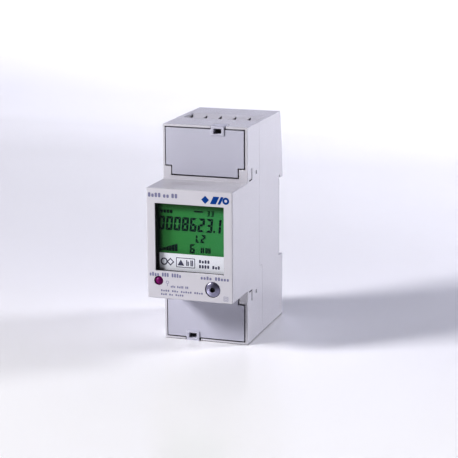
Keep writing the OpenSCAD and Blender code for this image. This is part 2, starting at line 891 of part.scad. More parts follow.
// Sliding clip: a T-section slide with a lip that reaches over the rail's lower edge
module din_clip() {
    end_z = -half_h + clip_end_gap;
    lip_z = -rail_z + hook_reach;
    lip_front = foot_d - 1.5;
    color([0.2, 0.2, 0.22])
        difference() {
            union() {
                block([-flange_w / 2, flange_y, end_z], [flange_w / 2, flange_y + flange_t, -rail_z - 0.4]);
                block([-clip_w / 2, flange_y + gap, end_z], [clip_w / 2, foot_d - 0.1, -rail_z - 0.4]);
                // lip with its lead-in slope
                translate([-clip_w / 2, 0, 0])
                    rotate([90, 0, 90])
                        linear_extrude(height = clip_w)
                            polygon([[flange_y, -rail_z - 1.5], [flange_y, lip_z - 0.5],
                                [flange_y + 0.5, lip_z],
                                [lip_front, lip_z], [foot_d - 0.1, lip_z - 1.2],
                                    [foot_d - 0.1, -rail_z - 1.5]]);
            }
            // slot round the spring
            block([-clip_slot_w / 2, flange_y - past, -clip_slot_bottom],
                [clip_slot_w / 2, foot_d + past, -clip_slot_top]);
            // slot for the tip of a screwdriver
            block([-2.75, flange_y + 0.8, end_z + 1.5], [2.75, foot_d + past, end_z + 3]);
        }
}

// Serpentine spring of flat strip between the housing's peg and the clip
module din_clip_spring() {
    strip_t = 0.4;
    strip_w = 1.6;
    leg_x = 1.2;
    legs = 6;
    pitch = (peg_top - clip_slot_top - seat - strip_t) / (legs - 1);
    turn_r = pitch / 2;
    color(steel_color)
        translate([0, foot_d - 1.1, -peg_top + strip_t / 2])
            rotate([90, 0, 0]) {
                for (k = [0 : legs - 1])
                    translate([-leg_x, k * pitch - strip_t / 2, 0])
                        cube([2 * leg_x, strip_t, strip_w]);
                // each turn is half a ring, on the right and the left by turns
                for (k = [0 : legs - 2])
                    translate([0, (k + 0.5) * pitch, 0])
                        mirror([k % 2, 0, 0])
                            translate([leg_x, 0, 0])
                                rotate([0, 0, -90])
                                    rotate_extrude(angle = 180)
                                        translate([turn_r - strip_t / 2, 0])
                                            square([strip_t, strip_w]);
            }
}

rear_housing();
front_housing();
upper_terminal_cover();
lower_terminal_cover();
display_window();
display_frame();
rating_label();
lcd_panel();
lcd_connector();
backlight_guide();
backlight_leds();
display_board();
pulse_led();
push_button();
switch_plunger();
tact_switch();
microcontroller();
main_board();
board_connector();
metering_chip();
supply_transformer();
buffer_capacitor();
varistor();
optocouplers();
line_in_busbar();
line_out_busbar();
neutral_busbar();
current_shunt();
main_screw_1();
main_screw_2();
main_screw_3();
main_cage_1();
main_cage_2();
main_cage_3();
aux_terminal_block();
aux_contacts();
aux_screw_1();
aux_screw_2();
aux_screw_3();
aux_screw_4();
aux_screw_5();
aux_cage_1();
aux_cage_2();
aux_cage_3();
aux_cage_4();
aux_cage_5();
din_clip();
din_clip_spring();
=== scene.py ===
# Single-phase energy meter on a pale studio floor. Metres, row frame: +X right, -Y out of the front, +Z up.
import math
import random

import bmesh
import bpy
from mathutils import Euler, Matrix, Quaternion, Vector


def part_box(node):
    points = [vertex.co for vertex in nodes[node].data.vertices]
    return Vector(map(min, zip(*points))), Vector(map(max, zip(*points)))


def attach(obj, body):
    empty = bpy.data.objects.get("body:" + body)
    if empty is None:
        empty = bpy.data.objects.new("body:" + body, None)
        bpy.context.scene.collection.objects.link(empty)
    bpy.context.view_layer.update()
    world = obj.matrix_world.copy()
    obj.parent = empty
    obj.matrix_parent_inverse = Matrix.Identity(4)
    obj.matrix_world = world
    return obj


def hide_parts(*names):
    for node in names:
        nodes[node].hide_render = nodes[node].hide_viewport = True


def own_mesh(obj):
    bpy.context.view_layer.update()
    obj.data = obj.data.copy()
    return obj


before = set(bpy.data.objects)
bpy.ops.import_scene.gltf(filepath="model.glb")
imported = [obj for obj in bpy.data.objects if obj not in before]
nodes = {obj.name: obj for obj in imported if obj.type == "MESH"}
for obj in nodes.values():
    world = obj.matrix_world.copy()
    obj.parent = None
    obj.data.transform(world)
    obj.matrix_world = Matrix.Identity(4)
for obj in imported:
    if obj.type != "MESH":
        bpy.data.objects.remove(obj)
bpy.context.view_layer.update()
MM = 0.001
SHARP = math.radians(25)


# Sizes read from the frame ---------------------------------------------------

front_low, front_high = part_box("front_housing")
rear_low, rear_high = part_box("rear_housing")
lcd_low, lcd_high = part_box("lcd_panel")
label_low, label_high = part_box("rating_label")
button_low, button_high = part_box("push_button")

# The same in mm, for the outlines and for the rules that round the edges
half_w = front_high[0] / MM
half_h = front_high[2] / MM
panel = front_low[1] / MM

# Levels inside the two shells that no box gives, in mm from the rail
nose_half = 22.5
shoulder = 44
upper_seam = 28
lower_seam = 24
seam_step = 15.6
terminal_inner = 17
hook_lip = 16.35
foot_back = 5
cover_plate_back = 42.3
cover_plate_foot = 28


# Materials -------------------------------------------------------------------

def material(name):
    mat = bpy.data.materials.new(name)
    mat.use_nodes = True
    return mat, mat.node_tree, mat.node_tree.nodes["Principled BSDF"]


def add(tree, kind, **values):
    node = tree.nodes.new(kind)
    for key, value in values.items():
        if hasattr(node, key):
            setattr(node, key, value)
        else:
            node.inputs[key].default_value = value
    return node


def noise(tree, coord, scale, detail=3.0, stretch=None):
    made = add(tree, "ShaderNodeTexNoise")
    made.inputs["Scale"].default_value = scale
    made.inputs["Detail"].default_value = detail
    source = coord.outputs["Object"]
    if stretch:
        mapping = add(tree, "ShaderNodeMapping")
        mapping.inputs["Scale"].default_value = stretch
        tree.links.new(source, mapping.inputs["Vector"])
        source = mapping.outputs["Vector"]
    tree.links.new(source, made.inputs["Vector"])
    return made


def fade(tree, source, start, end, low=0.0, high=1.0, smooth=False):
    """Runs from low to high while the source runs from start to end."""
    made = add(tree, "ShaderNodeMapRange")
    if smooth:
        made.interpolation_type = "SMOOTHSTEP"
    made.inputs["From Min"].default_value = start
    made.inputs["From Max"].default_value = end
    made.inputs["To Min"].default_value = low
    made.inputs["To Max"].default_value = high
    tree.links.new(source, made.inputs["Value"])
    return made.outputs["Result"]


def spread(tree, source, low, high):
    """Stretches a noise, which stays near its middle, over low to high."""
    return fade(tree, source, 0.3, 0.7, low, high)


def tint(tree, factor, first, second):
    """Mixes two colours, or the outputs of other nodes, by a factor."""
    made = add(tree, "ShaderNodeMix", data_type="RGBA")
    for socket, value in ((made.inputs[6], first), (made.inputs[7], second)):
        if isinstance(value, bpy.types.NodeSocket):
            tree.links.new(value, socket)
        else:
            socket.default_value = (*value, 1)
    tree.links.new(factor, made.inputs[0])
    return made.outputs[2]


def dimmed(tree, colour, share):
    """A colour times a share that another node gives."""
    shade = add(tree, "ShaderNodeVectorMath", operation="SCALE")
    tree.links.new(colour, shade.inputs[0])
    tree.links.new(share, shade.inputs["Scale"])
    return shade.outputs["Vector"]


def places(tree, coord):
    """The X, Y and Z of a point on the piece, in metres."""
    parts = add(tree, "ShaderNodeSeparateXYZ")
    tree.links.new(coord.outputs["Object"], parts.inputs["Vector"])
    return parts.outputs


def surface(name, colour, rough, vary=0.03, rough_vary=0.05, grain=5000.0, depth=0.01, metal=0.0,
            stretch=None, specular=0.5, gap_shade_mm=0.0):
    """A material with fine grain in its relief, and slow changes of colour and roughness.
    Where the gap-shade width is set, ambient occlusion darkens narrow gaps up to that many mm wide: painted
    shade."""
    mat, tree, shader = material(name)
    coord = add(tree, "ShaderNodeTexCoord")
    slow = noise(tree, coord, 60.0, 4.0)
    fine = noise(tree, coord, grain, 2.0, stretch)
    dark = [c * (1 - vary) for c in colour]
    light = [min(1, c * (1 + vary)) for c in colour]
    colours = tint(tree, spread(tree, slow.outputs["Fac"], 0, 1), dark, light)
    # Painted shade: in narrow gaps the colour falls towards 12% of itself.
    if gap_shade_mm:
        closed = add(tree, "ShaderNodeAmbientOcclusion", samples=8)
        closed.inputs["Distance"].default_value = gap_shade_mm * MM
        unshaded = fade(tree, closed.outputs["AO"], 0.3, 0.55)
        colours = tint(tree, unshaded, [c * 0.12 for c in colour], colours)
    tree.links.new(colours, shader.inputs["Base Color"])
    uneven = spread(tree, fine.outputs["Fac"], rough - rough_vary, rough + rough_vary)
    tree.links.new(uneven, shader.inputs["Roughness"])
    bump = add(tree, "ShaderNodeBump")
    bump.inputs["Strength"].default_value = 0.5
    bump.inputs["Distance"].default_value = depth * MM
    tree.links.new(fine.outputs["Fac"], bump.inputs["Height"])
    tree.links.new(bump.outputs["Normal"], shader.inputs["Normal"])
    shader.inputs["Metallic"].default_value = metal
    shader.inputs["Specular IOR Level"].default_value = specular
    return mat


# The housing plastic carries painted shade in its gaps, seams and slots up to 1.2 mm wide.
housing_mat = surface("housing_plastic", (0.60, 0.59, 0.64), 0.23, vary=0.012, grain=4500, depth=0.006,
                      gap_shade_mm=1.2)
cover_mat = surface("cover_plastic", (0.52, 0.52, 0.605), 0.32, vary=0.012, grain=5200, depth=0.008)
black_mat = surface("black_plastic", (0.012, 0.012, 0.015), 0.4, vary=0.1, depth=0.01)
clip_mat = surface("clip_plastic", (0.035, 0.035, 0.04), 0.45, vary=0.08, depth=0.02)
block_mat = surface("block_plastic", (0.07, 0.085, 0.12), 0.42, vary=0.08, depth=0.02)
steel_mat = surface("steel", (0.56, 0.57, 0.60), 0.28, metal=1.0, rough_vary=0.08, grain=2500,
                    stretch=(1, 1, 8))
clamp_mat = surface("plated_steel", (0.62, 0.60, 0.56), 0.25, metal=1.0, rough_vary=0.08, grain=3000,
                    vary=0.06)
brass_mat = surface("brass", (0.72, 0.50, 0.20), 0.3, metal=1.0, rough_vary=0.1, grain=2500, vary=0.08,
                    stretch=(1, 8, 1))
shunt_mat = surface("shunt_alloy", (0.50, 0.28, 0.18), 0.35, metal=1.0, rough_vary=0.1, grain=2500, vary=0.1)
chip_mat = surface("chip_plastic", (0.02, 0.02, 0.022), 0.5, vary=0.15, grain=7000, depth=0.01)
led_mat = surface("lamp_package", (0.75, 0.72, 0.45), 0.35, vary=0.05)
rubber_mat = surface("elastomer", (0.03, 0.03, 0.035), 0.6, vary=0.2, grain=3000, stretch=(6, 1, 1))
coil_mat = surface("coil_tape", (0.42, 0.30, 0.06), 0.4, vary=0.12, grain=1800, stretch=(1, 1, 6), depth=0.03)
can_mat = surface("capacitor_sleeve", (0.03, 0.045, 0.16), 0.3, vary=0.08, stretch=(6, 1, 1))
disc_mat = surface("varistor_coat", (0.05, 0.14, 0.42), 0.35, vary=0.1, grain=1500, depth=0.04)
print_mat = surface("grey_print", (0.22, 0.22, 0.34), 0.5, vary=0.06, specular=0.15)
blue_mat = surface("blue_print", (0.004, 0.06, 0.27), 0.45, vary=0.05, specular=0.1)
ink_mat = surface("label_ink", (0.09, 0.09, 0.15), 0.5, vary=0.06, specular=0.15)
label_mat = surface("label_film", (0.90, 0.915, 0.99), 0.3, vary=0.015, depth=0.004)
segment_mat = surface("display_segments", (0.006, 0.016, 0.026), 0.4, vary=0.1, specular=0.05)
lamp_mat = surface("tinted_lens", (0.19, 0.002, 0.13), 0.4, vary=0.1, depth=0.002, specular=0.25)
button_mat = surface("chromed_button", (0.30, 0.29, 0.40), 0.3, metal=1.0, rough_vary=0.03, vary=0.04,
                     depth=0.002)
guide_mat = surface("light_guide", (0.70, 0.82, 0.70), 0.2, vary=0.05, grain=1200, depth=0.02)


def clear(name, colour, alpha, rough):
    """A thin clear sheet, with faint unevenness in its polish."""
    mat, tree, shader = material(name)
    coord = add(tree, "ShaderNodeTexCoord")
    slow = noise(tree, coord, 90.0, 3.0)
    dark = [c * 0.96 for c in colour]
    colours = tint(tree, spread(tree, slow.outputs["Fac"], 0, 1), dark, colour)
    tree.links.new(colours, shader.inputs["Base Color"])
    uneven = spread(tree, slow.outputs["Fac"], rough, rough * 1.6)
    tree.links.new(uneven, shader.inputs["Roughness"])
    shader.inputs["Alpha"].default_value = alpha
    shader.inputs["IOR"].default_value = 1.58
    mat.surface_render_method = "DITHERED"
    return mat


pane_mat = clear("window_polycarbonate", (0.02, 0.03, 0.03), 0.05, 0.03)
glass_mat = clear("display_glass", (0.01, 0.03, 0.015), 0.05, 0.02)


def lit_back():
    """Green back of the display, brighter to the right and dim along its top, with painted shade darkening
    its left rim.
    """
    mat, tree, shader = material("display_back")
    coord = add(tree, "ShaderNodeTexCoord")
    x, _, z = places(tree, coord)
    across = fade(tree, x, -14 * MM, 14 * MM)
    green = tint(tree, across, (0.033, 0.185, 0.046), (0.046, 0.225, 0.080))
    top_edge = fade(tree, z, 12.6 * MM, 15.4 * MM)
    green = tint(tree, top_edge, green, (0.022, 0.07, 0.024))
    # Painted shade: towards the left rim the green falls to near black, where the window's left wall would
    # shade it.
    clear_of_rim_shade = fade(tree, x, -14.2 * MM, -11.6 * MM, smooth=True)
    green = tint(tree, clear_of_rim_shade, (0.004, 0.014, 0.008), green)
    cells = add(tree, "ShaderNodeTexVoronoi")
    cells.inputs["Scale"].default_value = 2500
    tree.links.new(coord.outputs["Object"], cells.inputs["Vector"])
    green = dimmed(tree, green, spread(tree, cells.outputs["Distance"], 0.94, 1.0))
    tree.links.new(green, shader.inputs["Base Color"])
    tree.links.new(green, shader.inputs["Emission Color"])
    shader.inputs["Emission Strength"].default_value = 0.7
    shader.inputs["Roughness"].default_value = 0.5
    shader.inputs["Specular IOR Level"].default_value = 0.1
    return mat


def board():
    """Solder mask over copper tracks and pads."""
    mat, tree, shader = material("circuit_board")
    coord = add(tree, "ShaderNodeTexCoord")
    tracks = add(tree, "ShaderNodeTexBrick")
    tracks.inputs["Scale"].default_value = 260
    tracks.inputs["Mortar Size"].default_value = 0.06
    tracks.inputs["Color1"].default_value = (0.012, 0.10, 0.035, 1)
    tracks.inputs["Color2"].default_value = (0.014, 0.115, 0.042, 1)
    tracks.inputs["Mortar"].default_value = (0.03, 0.19, 0.08, 1)
    mapping = add(tree, "ShaderNodeMapping")
    mapping.inputs["Rotation"].default_value = (math.radians(45), 0, math.radians(45))
    tree.links.new(coord.outputs["Object"], mapping.inputs["Vector"])
    tree.links.new(mapping.outputs["Vector"], tracks.inputs["Vector"])
    tree.links.new(tracks.outputs["Color"], shader.inputs["Base Color"])
    slow = noise(tree, coord, 400.0, 3.0)
    tree.links.new(spread(tree, slow.outputs["Fac"], 0.25, 0.4), shader.inputs["Roughness"])
    bump = add(tree, "ShaderNodeBump")
    bump.inputs["Distance"].default_value = 0.03 * MM
    tree.links.new(tracks.outputs["Fac"], bump.inputs["Height"])
    tree.links.new(bump.outputs["Normal"], shader.inputs["Normal"])
    return mat


back_mat = lit_back()
board_mat = board()


# Shapes ----------------------------------------------------------------------

def place(bm, name, body, mat, replaced=()):
    """Turns a bmesh into a piece that rides on a body."""
    mesh = bpy.data.meshes.new(name)
    bm.to_mesh(mesh)
    bm.free()
    mesh.materials.append(mat)
    piece = bpy.data.objects.new(name, mesh)
    bpy.context.scene.collection.objects.link(piece)
    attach(piece, body)
    if replaced:
        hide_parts(*replaced)
    return piece


def finish_edges(piece, width, segments, limit="ANGLE"):
    bevel = piece.modifiers.new("edges", "BEVEL")
    bevel.width = width
    bevel.segments = segments
    bevel.limit_method = limit
    bevel.angle_limit = SHARP
    bevel.use_clamp_overlap = False
    bevel.miter_outer = "MITER_ARC"
    normals = piece.modifiers.new("normals", "WEIGHTED_NORMAL")
    normals.keep_sharp = True
    normals.weight = 80


def soften(name, width, mat):
    """Small rounded edges on a node of the frame."""
    node = nodes[name]
    weld = node.modifiers.new("weld", "WELD")
    weld.merge_threshold = 0.002 * MM
    finish_edges(node, width, 2)
    node.data.materials.clear()
    node.data.materials.append(mat)


def clean_copy(name):
    """The node's mesh with its seams closed and its flat triangles paired."""
    bm = bmesh.new()
    bm.from_mesh(nodes[name].data)
    bmesh.ops.remove_doubles(bm, verts=bm.verts, dist=0.002 * MM)
    bmesh.ops.join_triangles(bm, faces=bm.faces[:], cmp_seam=False, cmp_sharp=False, cmp_uvs=False,
                             cmp_vcols=False, cmp_materials=False, angle_face_threshold=math.radians(0.5),
                             angle_shape_threshold=math.radians(180))
    bm.normal_update()
    return bm


def rounded(name, body, mat, rule, widest):
    """A piece made from the node, with each sharp edge rounded as far as rule(edge ends in mm) says."""
    bm = clean_copy(name)
    layer = bm.edges.layers.float.new("bevel_weight_edge")
    for edge in bm.edges:
        if len(edge.link_faces) != 2 or edge.calc_face_angle(0) < SHARP:
            continue
        a, b = (v.co / MM for v in edge.verts)
        edge[layer] = min(1, rule(a, b) / widest)
        edge.smooth = edge[layer] > 0
    for face in bm.faces:
        face.smooth = True
    piece = place(bm, name + "_shell", body, mat, [name])
    finish_edges(piece, widest * MM, 3, "WEIGHT")


def near(a, b, axis, value, slack=0.02):
    """Whether both ends of an edge lie at a value, or at its opposite, on an axis."""
    return abs(abs(a[axis]) - value) < slack and abs(abs(b[axis]) - value) < slack


def on_seam(a, b):
    return near(a, b, 1, upper_seam) or near(a, b, 1, lower_seam) or near(a, b, 2, seam_step)


def front_rule(a, b):
    outer_x = near(a, b, 0, half_w)
    ends = near(a, b, 2, half_h)
    nose_ends = near(a, b, 2, nose_half)
    at_front = near(a, b, 1, -panel)
    at_shoulder = near(a, b, 1, shoulder)
    foremost = min(a[1], b[1])
    if at_front:
        return 0.5 if outer_x or nose_ends else 0.16
    if outer_x and nose_ends and foremost < panel + 0.1:
        return 0.5
    if outer_x and ends:
        return 0.5
    if at_shoulder and (outer_x or ends):
        return 0.28
    if on_seam(a, b):
        return 0.16 if outer_x or ends else 0
    if at_shoulder:
        return 0.08
    beside_covers = abs(a[2]) > nose_half and abs(b[2]) > nose_half
    if near(a, b, 0, terminal_inner) and beside_covers and foremost < -shoulder + 0.1:
        return 0.12
    return 0


def rear_rule(a, b):
    outer_x = near(a, b, 0, half_w)
    ends = near(a, b, 2, half_h)
    foremost = min(a[1], b[1])
    if on_seam(a, b):
        return 0.16 if outer_x or ends else 0
    if near(a, b, 2, hook_lip, 0.06) and foremost > 0:
        return 0
    if outer_x:
        return 0.2 if foremost > -3 else 0.45
    if foremost > foot_back or (ends and a[2] > 0):
        return 0.2
    return 0


def cover_rule(a, b):
    if near(a, b, 1, shoulder):
        return 0.1
    in_plate = min(abs(a[1]), abs(b[1])) > cover_plate_back
    above_foot = min(abs(a[2]), abs(b[2])) > cover_plate_foot
    return 0.2 if in_plate and above_foot else 0


rounded("front_housing", "meter", housing_mat, front_rule, 0.5)
rounded("rear_housing", "meter", housing_mat, rear_rule, 0.45)
rounded("upper_terminal_cover", "upper_cover", cover_mat, cover_rule, 0.2)
rounded("lower_terminal_cover", "lower_cover", cover_mat, cover_rule, 0.2)

for name, width, mat in [
        ("display_window", 0.12, pane_mat), ("display_frame", 0.08, black_mat),
        ("lcd_connector", 0.08, rubber_mat),
        ("backlight_guide", 0.1, guide_mat), ("backlight_leds", 0.1, led_mat),
        ("display_board", 0.1, board_mat), ("pulse_led", 0.06, lamp_mat),
        ("switch_plunger", 0.15, black_mat),
        ("tact_switch", 0.15, steel_mat), ("microcontroller", 0.12, chip_mat),
        ("main_board", 0.1, board_mat), ("board_connector", 0.12, black_mat),
        ("metering_chip", 0.1, chip_mat), ("supply_transformer", 0.25, coil_mat),
        ("buffer_capacitor", 0.5, can_mat), ("varistor", 0.3, disc_mat),
        ("optocouplers", 0.15, chip_mat), ("line_in_busbar", 0.12, brass_mat),
        ("line_out_busbar", 0.12, brass_mat), ("neutral_busbar", 0.12, brass_mat),
        ("current_shunt", 0.1, shunt_mat), ("aux_terminal_block", 0.15, block_mat),
        ("aux_contacts", 0.1, brass_mat), ("din_clip", 0.2, clip_mat)]:
    soften(name, width * MM, mat)
# The zigzag spring of the clip, copied onto a mesh of its own
spring_piece = place(clean_copy("din_clip_spring"), "clip_spring_wire", "meter", steel_mat,
                     ["din_clip_spring"])
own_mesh(spring_piece)

for i in range(1, 4):
    soften(f"main_screw_{i}", 0.15 * MM, clamp_mat)
    soften(f"main_cage_{i}", 0.15 * MM, clamp_mat)
for i in range(1, 6):
    soften(f"aux_screw_{i}", 0.08 * MM, clamp_mat)
    soften(f"aux_cage_{i}", 0.1 * MM, clamp_mat)


def slab(bm, points, y_front, y_back):
    """A thin plate standing on the X-Z plane, from its outline in mm."""
    front = [bm.verts.new((x * MM, y_front * MM, z * MM)) for x, z in points]
    back = [bm.verts.new((x * MM, y_back * MM, z * MM)) for x, z in points]
    bm.faces.new(front)
    bm.faces.new(back[::-1])
    for k in range(len(points)):
        n = (k + 1) % len(points)
        bm.faces.new((front[n], front[k], back[k], back[n]))


def turned(bm, profile, x, z, steps=72):
    """A solid of revolution about Y, from its profile of radius and depth in mm, both ends on the axis."""
    rows = []
    for r, y in profile:
        if r == 0:
            rows.append([bm.verts.new((x * MM, y * MM, z * MM))] * steps)
            continue
        rows.append([bm.verts.new(((x + r * math.cos(2 * math.pi * k / steps)) * MM, y * MM,
                                   (z + r * math.sin(2 * math.pi * k / steps)) * MM)) for k in range(steps)])
    for here, then in zip(rows, rows[1:]):
        for k in range(steps):
            n = (k + 1) % steps
            corners = list(dict.fromkeys((here[k], here[n], then[n], then[k])))
            face = bm.faces.new(corners)
            face.smooth = True
    bmesh.ops.recalc_face_normals(bm, faces=bm.faces)


button_x = (button_low[0] + button_high[0]) / 2 / MM
button_z = (button_low[2] + button_high[2]) / 2 / MM
button_face = button_low[1] / MM
button_back = button_high[1] / MM


def button_cap():
    """A dished cap with a deep dimple, its stem, and a lug at each side behind the panel."""
    cap_r, stem_r, dome_r = 3.1, 1.4, 7.5
    dimple_r, dimple_floor = 0.97, 1.6
    profile = [(0, 1.5), (0.7, 1.45), (0.92, 1.2), (0.98, 0.2)]
    for r in (1.1, 1.3, 1.6, 1.9, 2.2, 2.5, 2.7, 2.85):
        profile.append((r, 0.01 + dome_r - math.sqrt(dome_r ** 2 - r ** 2)))
    profile += [(2.98, 0.68), (3.07, 0.8), (cap_r, 0.95), (cap_r, 3.2), (cap_r - 0.1, 3.3), (stem_r, 3.3)]
    profile = [(r, button_face + y) for r, y in profile]
    profile += [(stem_r, button_back - 0.1), (stem_r - 0.1, button_back), (0, button_back)]
    bm = bmesh.new()
    turned(bm, profile, button_x, button_z)
    low, high = button_z - 1.5, button_z + 1.5
    for side in (-1, 1):
        left, right = sorted((button_x + side * (cap_r - 0.1), button_x + side * (cap_r + 0.6)))
        outline = [(left, low), (right, low), (right, high), (left, high)]
        slab(bm, outline, button_face + 2.15, button_face + 3.1)
    piece = place(bm, "button_cap", "button", button_mat, ["push_button"])
    # Painted shade: the faces deep in the dimple take black plastic, standing in for the shade in the hole.
    piece.data.materials.append(black_mat)
    for face in piece.data.polygons:
        off = math.hypot(face.center.x - button_x * MM, face.center.z - button_z * MM)
        shaded_dimple = off < dimple_r * MM and face.center.y < (button_face + dimple_floor) * MM
        face.material_index = 1 if shaded_dimple else 0
    split = piece.modifiers.new("creases", "EDGE_SPLIT")
    split.split_angle = math.radians(40)


button_cap()


# Flat marks ------------------------------------------------------------------

def ring(bm, x, z, outer, inner, y_front, y_back, first=0, last=360, steps=28):
    """A flat ring or part of one, made of short plates joined into one piece."""
    span = math.radians(last - first)
    closed = last - first >= 360
    count = steps + (0 if closed else 1)
    rows = []
    for k in range(count):
        turn = math.radians(first) + span * k / steps
        rows.append([bm.verts.new(((x + r * math.cos(turn)) * MM, y * MM, (z + r * math.sin(turn)) * MM))
                     for r, y in ((outer, y_front), (inner, y_front), (inner, y_back), (outer, y_back))])
    for k in range(steps):
        here, then = rows[k], rows[(k + 1) % count]
        for m in range(4):
            n = (m + 1) % 4
            bm.faces.new((here[m], here[n], then[n], then[m]))
    if not closed:
        bm.faces.new(rows[0])
        bm.faces.new(rows[-1][::-1])


def bar(bm, x1, x2, z1, z2, y_front, y_back, lean=0.0):
    """A bar with clipped corners, leaning by lean mm over its height."""
    cut = min(x2 - x1, z2 - z1) * 0.25
    shift = lean / (z2 - z1)
    points = [(x1 + cut, z1), (x2 - cut, z1), (x2, z1 + cut), (x2, z2 - cut), (x2 - cut, z2), (x1 + cut, z2),
              (x1, z2 - cut), (x1, z1 + cut)]
    slab(bm, [(x + (z - z1) * shift, z) for x, z in points], y_front, y_back)


def words(bm, x1, x2, z1, z2, y_front, y_back, counts, rng, gap_share=0.32, space=0.9):
    """A line of upright strokes set in groups, which stands in for small print."""
    total = sum(counts) + space * (len(counts) - 1)
    pitch = (x2 - x1) / total
    x = x1
    for count in counts:
        for _ in range(count):
            high = z2 - (z2 - z1) * rng.choice((0, 0, 0.25))
            bar(bm, x, x + pitch * (1 - gap_share), z1, high, y_front, y_back)
            x += pitch
        x += space * pitch


rng = random.Random(11)


def panel_print():
    """Small print on the raised front: rows of strokes, a lamp sign and a nested square."""
    bm = bmesh.new()
    levels = (panel - 0.02, panel + 0.03)
    words(bm, -17.1, -4.4, 18.8, 20.6, *levels, (4, 2, 2), rng, 0.3, 0.5)
    for left, right, foot, top, counts in (
            (-16.9, -3.3, -13.4, -11.8, (4, 3, 4)), (4.7, 16.8, -13.3, -11.9, (4, 5)),
            (-8.0, -0.4, -17.7, -16.7, (3, 4, 2)), (-12.2, 5.8, -19.5, -18.7, (4, 3, 5, 4)),
            (-12.2, -2.4, -21.0, -20.2, (3, 2, 4))):
        words(bm, left, right, foot, top, *levels, counts, rng)
    ring(bm, -9.4, -15.6, 0.62, 0.45, *levels)
    bar(bm, -9.5, -9.3, -17.2, -16.2, *levels)
    for outer, inner in ((1.32, 1.14), (0.72, 0.54)):
        ring(bm, 15.2, -20.5, outer, inner, *levels, 45, 405, 4)
    place(bm, "panel_print", "meter", print_mat)


def panel_sign():
    """The blue sign: a diamond, two slanted blocks and a ring."""
    bm = bmesh.new()
    levels = (panel - 0.02, panel + 0.03)
    slab(bm, [(5.2, 19.0), (6.8, 20.6), (8.4, 19.0), (6.8, 17.4)], *levels)
    for left, width in ((8.8, 2.4), (11.9, 1.1)):
        right = left + width
        slab(bm, [(left, 17.5), (right, 17.5), (right + 1.4, 20.5), (left + 1.4, 20.5)], *levels)
    ring(bm, 15.3, 19.0, 1.4, 0.6, *levels)
    place(bm, "panel_sign", "meter", blue_mat)


def label_print():
    """Signs on the label: a ring, a diamond, a framed triangle and two rows of strokes."""
    bm = bmesh.new()
    face = label_low[1] / MM
    levels = (face + 0.015, face + 0.05)
    middle = (label_low[2] + label_high[2]) / 2 / MM
    frame_left, frame_right, frame_up, line = -6.5, 1.5, 2.0, 0.25
    ring(bm, -11.6, middle, 1.5, 1.0, *levels)
    ring(bm, -8.9, middle, 1.6, 1.05, *levels, 0, 360, 4)
    for z in (middle - frame_up, middle + frame_up - line):
        bar(bm, frame_left, frame_right, z, z + line, *levels)
    for x in (frame_left, frame_right - line):
        bar(bm, x, x + line, middle - frame_up, middle + frame_up, *levels)
    slab(bm, [(-5.9, middle - 1.2), (-4.5, middle + 1.2), (-3.1, middle - 1.2)], *levels)
    words(bm, -2.2, 0.8, middle - 1.2, middle + 1.2, *levels, (2, 2), rng, 0.3)
    words(bm, 3.2, 7.9, middle + 0.35, middle + 1.7, *levels, (4,), rng)
    words(bm, 3.2, 12.2, middle - 1.7, middle - 0.35, *levels, (4, 3), rng)
    place(bm, "label_print", "meter", ink_mat)


panel_print()
panel_sign()
label_print()


# Display ---------------------------------------------------------------------

SEGMENTS = {"0": "abcdef", "1": "bc", "2": "abged", "3": "abgcd", "6": "afgedc", "8": "abcdefg", "L": "fed"}


def digit(bm, sign, x, z, width, height, thick, y_front, y_back):
    """A seven-segment sign whose strokes have mitred ends and lean slightly to the right."""
    lean = 0.09
    gap = thick * 0.08
    t = thick
    mid = height / 2
    left, right = gap, width - gap

    top, foot = height - gap, mid + gap
    upper = [(0, top), (0, foot), (t / 2, foot + gap / 2), (t, foot + t / 2), (t, top - t)]
    top, foot = mid - gap, gap
    lower = [(0, top), (0, foot), (t, foot + t), (t, top - t / 2), (t / 2, top - gap / 2)]
    strokes = {
        "a": [(left + t, height - t), (right - t, height - t), (right, height), (left, height)],
        "g": [(left + t / 2, mid), (left + t, mid - t / 2), (right - t, mid - t / 2), (right - t / 2, mid),
              (right - t, mid + t / 2), (left + t, mid + t / 2)],
        "d": [(left, 0), (right, 0), (right - t, t), (left + t, t)],
        "f": upper,
        "e": lower,
        "b": [(width - px, pz) for px, pz in reversed(upper)],
        "c": [(width - px, pz) for px, pz in reversed(lower)]}
    for part in SEGMENTS[sign]:
        slab(bm, [(x + px + pz * lean, z + pz) for px, pz in strokes[part]], y_front, y_back)


cell_front = -59.24
cell_back = -59.21


def lcd_segments():
    """The dark signs on the display: a reading, a phase, a value with its bars, and small icons."""
    bm = bmesh.new()
    cell = (cell_front, cell_back)
    for k, sign in enumerate("0008623"):
        digit(bm, sign, -14.75 + 3.36 * k, 4.9, 2.8, 5.6, 0.94, *cell)
    bar(bm, 8.7, 9.5, 5.0, 5.8, *cell)
    bar(bm, 10.8, 11.72, 4.9, 7.6, *cell, 0.24)
    bar(bm, 11.06, 11.98, 7.8, 10.5, *cell, 0.24)
    digit(bm, "L", 1.2, 0.5, 1.8, 3.3, 0.82, *cell)
    digit(bm, "2", 3.3, 0.5, 1.9, 3.3, 0.8, *cell)
    digit(bm, "6", -1.35, -4.0, 2.1, 3.8, 0.72, *cell)
    for k in range(4):
        bar(bm, -13.5 + 1.35 * k, -12.4 + 1.35 * k, 11.8, 13.2, *cell)
    bar(bm, 0.7, 4.5, 12.8, 13.4, *cell)
    for x in (5.9, 7.6):
        digit(bm, "3", x, 11.5, 1.3, 2.2, 0.48, *cell)
    rise, pitch, width, foot = 0.42, 1.25, 1.12, -3.6
    for k in range(6):
        x = -13.8 + pitch * k
        top = -2.9 + rise * k
        slab(bm, [(x, foot), (x + width, foot), (x + width, top + rise * 0.8), (x, top)], *cell)
    words(bm, 3.4, 7.7, -3.6, -1.4, *cell, (2, 3), rng, 0.22, 0.5)
    place(bm, "lcd_segments", "meter", segment_mat)


lcd_segments()


